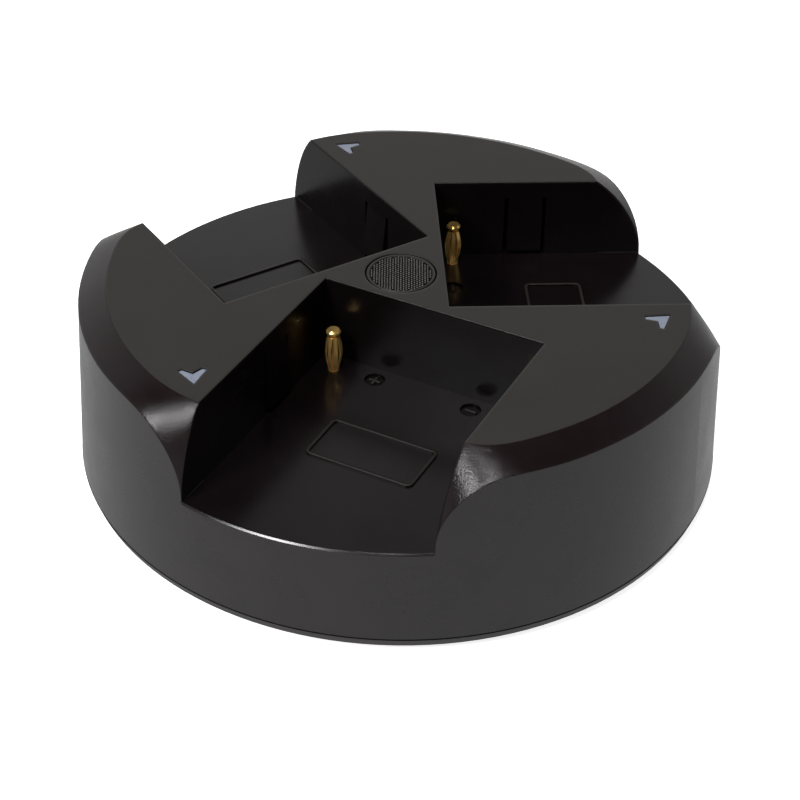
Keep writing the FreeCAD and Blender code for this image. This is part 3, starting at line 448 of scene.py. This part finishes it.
def dress_solids():
    """The finish of every solid that the scene shows as it is."""
    dress(COVER_PLASTIC_PAINTED_REFLECTION, "base_cover")
    dress(TOP_PLASTIC, "centre_disc")
    dress(BOARD, "main_circuit_board")
    dress(PART_BLACK, "dc_inlet_jack")
    dress(NICKEL, "dc_inlet_pin")
    dress(STEEL, "board_screws", "cover_screws")
    for bay in BAYS:
        dress(RUBBER, f"rubber_foot_{bay}")
        dress(WINDOW, f"indicator_window_{bay}")
        dress(LAMP_BODY, f"indicator_led_{bay}")
        dress(FERRITE, f"inductor_{bay}")
        dress(ALUMINIUM, f"capacitor_{bay}")
        dress(PART_BLACK, f"charge_controller_{bay}", f"power_transistor_{bay}")
    for pin in PINS:
        dress(GOLD, f"contact_pin_{pin}", f"contact_spring_{pin}")


# Floor, light and camera

FLOOR_SIZE = 6.0
FLOOR_WHITE = (0.85, 0.85, 0.85, 1)
FLOOR_LIFT = 0.8
FLOOR_IN_REFLECTIONS = 0.62


def make_floor():
    """A white floor, which the camera sees near white while it keeps the shadow."""
    corners = [(x * FLOOR_SIZE, y * FLOOR_SIZE, 0) for x, y in ((-1, -1), (1, -1), (1, 1), (-1, 1))]
    mesh = bpy.data.meshes.new("floor")
    mesh.from_pydata(corners, [], [(0, 1, 2, 3)])
    floor = bpy.data.objects.new("floor", mesh)
    bpy.context.scene.collection.objects.link(floor)
    material = bpy.data.materials.new("floor_white")
    material.use_nodes = True
    tree = material.node_tree
    shader = tree.nodes["Principled BSDF"]
    shader.inputs["Base Color"].default_value = FLOOR_WHITE
    shader.inputs["Roughness"].default_value = 1.0
    shader.inputs["Specular IOR Level"].default_value = 0.0
    shader.inputs["Emission Color"].default_value = (1, 1, 1, 1)
    rays = add_node(tree, "ShaderNodeLightPath").outputs
    lift = arithmetic(tree, "MULTIPLY", rays["Is Camera Ray"], FLOOR_LIFT)
    tree.links.new(lift, shader.inputs["Emission Strength"])
    mirrored = add_node(tree, "ShaderNodeEmission", Strength=FLOOR_IN_REFLECTIONS)
    choose = add_node(tree, "ShaderNodeMixShader", Fac=rays["Is Glossy Ray"])
    tree.links.new(shader.outputs["BSDF"], choose.inputs[1])
    tree.links.new(mirrored.outputs["Emission"], choose.inputs[2])
    tree.links.new(choose.outputs["Shader"], tree.nodes["Material Output"].inputs["Surface"])
    mesh.materials.append(material)


def fade(tree, value, start, end, first, last):
    """A smooth change from one strength to another between two values."""
    node = add_node(tree, "ShaderNodeMapRange", Value=value)
    node.interpolation_type = "SMOOTHSTEP"
    for name, number in (("From Min", start), ("From Max", end), ("To Min", first), ("To Max", last)):
        node.inputs[name].default_value = number
    return node.outputs["Result"]


def make_world():
    """A white backdrop behind the object that fades overhead and towards the camera.

    The camera itself sees plain white.
    """
    world = bpy.data.worlds.new("studio")
    bpy.context.scene.world = world
    world.use_nodes = True
    tree = world.node_tree
    background = tree.nodes["Background"]
    view = add_node(tree, "ShaderNodeTexCoord").outputs["Generated"]
    height = add_node(tree, "ShaderNodeSeparateXYZ", Vector=view).outputs["Z"]
    behind = tree.nodes.new("ShaderNodeVectorMath")
    behind.operation = "DOT_PRODUCT"
    set_inputs(tree, behind.inputs, (view, -direction(CAMERA_AZIMUTH, 0)))
    low = fade(tree, height, start=0.1, end=0.5, first=0.8, last=0.68)
    overhead = fade(tree, height, start=0.52, end=0.72, first=1.0, last=0.08)
    around = fade(tree, behind.outputs["Value"], start=-0.5, end=0.3, first=0.3, last=1.0)
    strength = arithmetic(tree, "MULTIPLY", arithmetic(tree, "MULTIPLY", low, overhead), around)
    rays = add_node(tree, "ShaderNodeLightPath").outputs
    choose = tree.nodes.new("ShaderNodeMix")
    choose.data_type = "FLOAT"
    set_inputs(tree, (choose.inputs[0], choose.inputs[2], choose.inputs[3]),
               (rays["Is Camera Ray"], strength, 1.0))
    tree.links.new(choose.outputs[0], background.inputs["Strength"])
    background.inputs["Color"].default_value = (1, 1, 1, 1)


def direction(azimuth, elevation):
    """Unit vector towards an azimuth, counted from -Y to +X, and an elevation, in degrees."""
    turn = math.radians(azimuth)
    rise = math.radians(elevation)
    return Vector((math.sin(turn) * math.cos(rise), -math.cos(turn) * math.cos(rise), math.sin(rise)))


def make_lamp(name, azimuth, elevation, distance, size, power):
    """A square softbox that faces the object."""
    light = bpy.data.lights.new(name, "AREA")
    light.shape = "SQUARE"
    light.size = size
    light.energy = power
    lamp = bpy.data.objects.new(name, light)
    bpy.context.scene.collection.objects.link(lamp)
    towards = direction(azimuth, elevation)
    lamp.location = towards * distance
    lamp.rotation_euler = (-towards).to_track_quat("-Z", "Y").to_euler()


CAMERA_AZIMUTH = 26.69
CAMERA_ELEVATION = 37.38
CAMERA_DISTANCE = 350.4 * MM
CAMERA_ROLL = -1.10
CAMERA_TARGET = Vector((-4.29, 9.08, 1.0)) * MM
FOCAL_PIXELS = 1967.2
IMAGE_PIXELS = 800
SENSOR_WIDTH = 36.0


def make_camera():
    """The photograph's camera."""
    data = bpy.data.cameras.new("camera")
    data.sensor_width = SENSOR_WIDTH
    data.lens = FOCAL_PIXELS * SENSOR_WIDTH / IMAGE_PIXELS
    camera = bpy.data.objects.new("camera", data)
    bpy.context.scene.collection.objects.link(camera)
    stand = direction(CAMERA_AZIMUTH, CAMERA_ELEVATION) * CAMERA_DISTANCE + Vector((0, 0, CAMERA_TARGET.z))
    forward = (CAMERA_TARGET - stand).normalized()
    right = forward.cross(Vector((0, 0, 1))).normalized()
    down = forward.cross(right)
    roll = math.radians(CAMERA_ROLL)
    across = right * math.cos(roll) + down * math.sin(roll)
    up = right * math.sin(roll) - down * math.cos(roll)
    camera.matrix_world = Matrix.Translation(stand) @ Matrix((across, up, -forward)).transposed().to_4x4()
    bpy.context.scene.camera = camera


make_housing()
make_parting_seam()
make_disc_dots()
make_disc_gap_shade()
dress_solids()
make_floor()
make_world()
make_lamp("key_light", azimuth=-19, elevation=44, distance=0.9, size=0.24, power=7.8)
make_lamp("edge_light", azimuth=48, elevation=26, distance=0.9, size=0.12, power=0.5)
make_lamp("overhead_light", azimuth=20, elevation=66, distance=0.9, size=0.05, power=3.5)
make_camera()
bpy.context.scene.view_settings.view_transform = "Standard"
